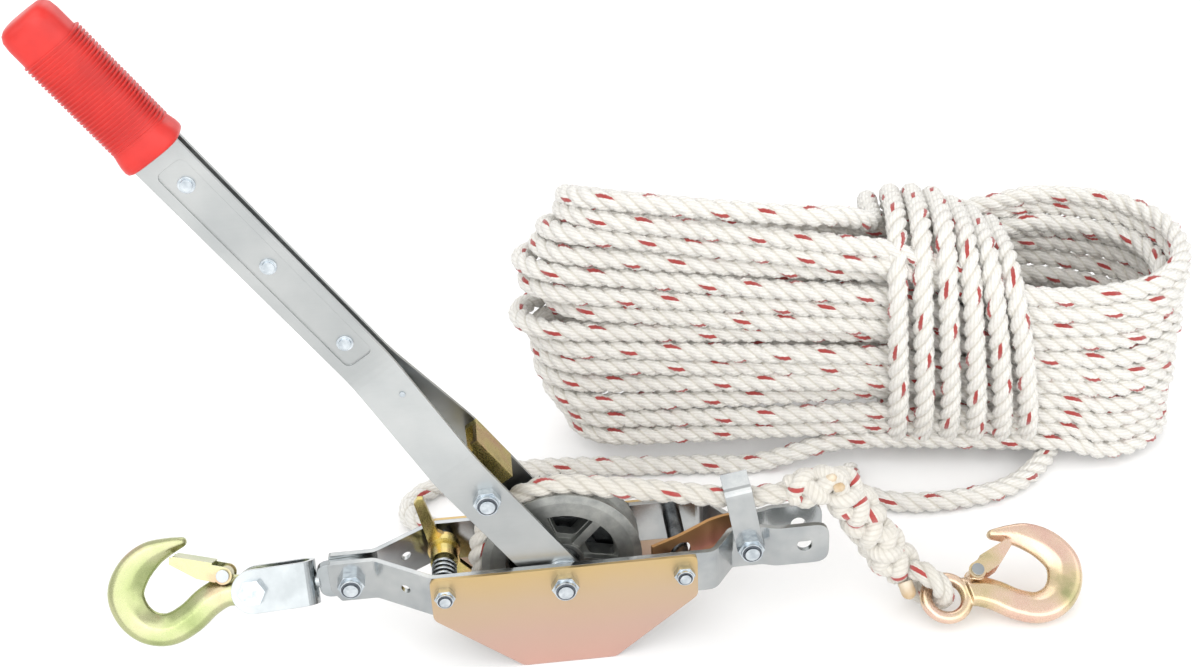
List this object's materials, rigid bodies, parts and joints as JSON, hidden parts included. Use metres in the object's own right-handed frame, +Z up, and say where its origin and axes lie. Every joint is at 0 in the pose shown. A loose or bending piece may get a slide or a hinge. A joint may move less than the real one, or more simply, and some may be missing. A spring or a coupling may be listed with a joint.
{
  "type": "come-along winch",
  "caption": "Rope-puller come-along: ratcheting lever and grooved wheel between steel side plates, a swivelling latch hook at one end and a hank of laid rope with its own hook",
  "frame": {"origin": "centre of the tail hole through the two side plates, midway between them", "axes": "+X from the wheel's axle to the tail hole, +Z up away from the guards' feet, +Y away from the side with the nuts"},
  "size_m": [0.6583, 0.2941, 0.3883],
  "materials": {
    "zinc": "bright zinc plate",
    "yellow_zinc": "yellow chromate zinc plate",
    "dark_steel": "plain dark steel",
    "bolt_zinc": "bright zinc fasteners",
    "cast": "die cast, lightly blasted",
    "bronze": "sintered bush",
    "grip": "dipped red vinyl",
    "rope": "three-strand laid rope with red tracer yarns"
  },
  "bodies": {
    "frame": {"side_plate_near": "zinc", "side_plate_far": "zinc", "guard_near": "yellow_zinc", "guard_far": "yellow_zinc", "axle_bolt": "bolt_zinc", "axle_nut": "bolt_zinc", "axle_sleeve": "dark_steel", "axle_washers": "dark_steel", "wheel_spacers": "dark_steel", "cross_bolts": "bolt_zinc", "cross_nuts": "bolt_zinc", "cross_spacer": "dark_steel", "pawl_pin_sleeve": "dark_steel", "neck_bolt": "bolt_zinc", "neck_nut": "bolt_zinc", "rope_guide": "yellow_zinc", "rope_keeper": "zinc", "keeper_bolt": "bolt_zinc", "keeper_nut": "bolt_zinc", "keeper_spacer": "dark_steel", "holding_pawl_spring": "bolt_zinc", "rope_hook": "yellow_zinc", "rope_hook_rivet": "bolt_zinc", "rope_hook_spring": "bolt_zinc", "rope_eye": "rope", "rope_splice": "rope", "rope_line": "rope", "rope_wrap": "rope", "rope_tail": "rope", "rope_hank": "rope", "rope_end": "rope"},
    "wheel": {"sheave": "cast", "sheave_bush": "bronze", "ratchet_wheel": "dark_steel", "sheave_rivets": "bolt_zinc"},
    "handle": {"handle_lever": "zinc", "handle_rivets": "bolt_zinc", "handle_grip": "grip", "pawl_bolt": "bolt_zinc", "pawl_nut": "bolt_zinc", "pawl_sleeve": "dark_steel", "spring_pin": "bolt_zinc", "drive_pawl_spring": "bolt_zinc"},
    "drive_pawl": {"drive_pawl": "yellow_zinc"},
    "holding_pawl": {"holding_pawl": "yellow_zinc"},
    "eye": {"swivel_eye": "zinc", "swivel_nut": "bolt_zinc"},
    "clevis": {"clevis_strap": "zinc", "clevis_bolt": "bolt_zinc", "clevis_nut": "bolt_zinc"},
    "anchor_hook": {"anchor_hook": "yellow_zinc", "anchor_latch_rivet": "bolt_zinc", "anchor_latch_spring": "bolt_zinc"},
    "anchor_latch": {"anchor_latch": "yellow_zinc"},
    "rope_latch": {"rope_hook_latch": "yellow_zinc"}
  },
  "joints": [
    {"name": "handle_swing", "type": "hinge", "parent": "frame", "child": "handle", "pos_m": [-0.134, 0, 0.00275], "axis": [0, -1, 0], "range_deg": [-60, 30]},
    {"name": "wheel_spin", "type": "hinge", "parent": "frame", "child": "wheel", "pos_m": [-0.134, 0, 0.00275], "axis": [0, -1, 0], "continuous": true},
    {"name": "drive_pawl_lift", "type": "hinge", "parent": "handle", "child": "drive_pawl", "pos_m": [-0.17127, 0, 0.05843], "axis": [0, 1, 0], "range_deg": [0, 15], "stiffness_Nm_per_rad": 0.15, "springref_deg": -28.65, "deforming": ["drive_pawl_spring"]},
    {"name": "holding_pawl_lift", "type": "hinge", "parent": "frame", "child": "holding_pawl", "pos_m": [-0.1985, 0, 0.00275], "axis": [0, 1, 0], "range_deg": [0, 12], "stiffness_Nm_per_rad": 0.15, "springref_deg": -28.65},
    {"name": "eye_pivot", "type": "hinge", "parent": "frame", "child": "eye", "pos_m": [-0.2495, 0, 0], "axis": [0, 1, 0], "range_deg": [-60, 40]},
    {"name": "clevis_swivel", "type": "hinge", "parent": "eye", "child": "clevis", "pos_m": [-0.27346, 0, -0.00146], "axis": [0.9981, 0, 0.061], "continuous": true},
    {"name": "hook_pivot", "type": "hinge", "parent": "clevis", "child": "anchor_hook", "pos_m": [-0.3019, 0, -0.0032], "axis": [0.0305, 0.866, -0.4991], "range_deg": [-45, 45]},
    {"name": "anchor_latch_lift", "type": "hinge", "parent": "anchor_hook", "child": "anchor_latch", "pos_m": [-0.31781, 0.00538, 0.00516], "axis": [-0.0305, -0.866, 0.4991], "range_deg": [0, 30], "stiffness_Nm_per_rad": 0.05, "springref_deg": -22.92, "deforming": ["anchor_latch_spring"]},
    {"name": "rope_latch_lift", "type": "hinge", "parent": "frame", "child": "rope_latch", "pos_m": [0.0974, -0.01261, -0.03175], "axis": [0, 0.5, -0.866], "range_deg": [0, 30], "stiffness_Nm_per_rad": 0.05, "springref_deg": -22.92, "deforming": ["rope_hook_spring"]}
  ]
}
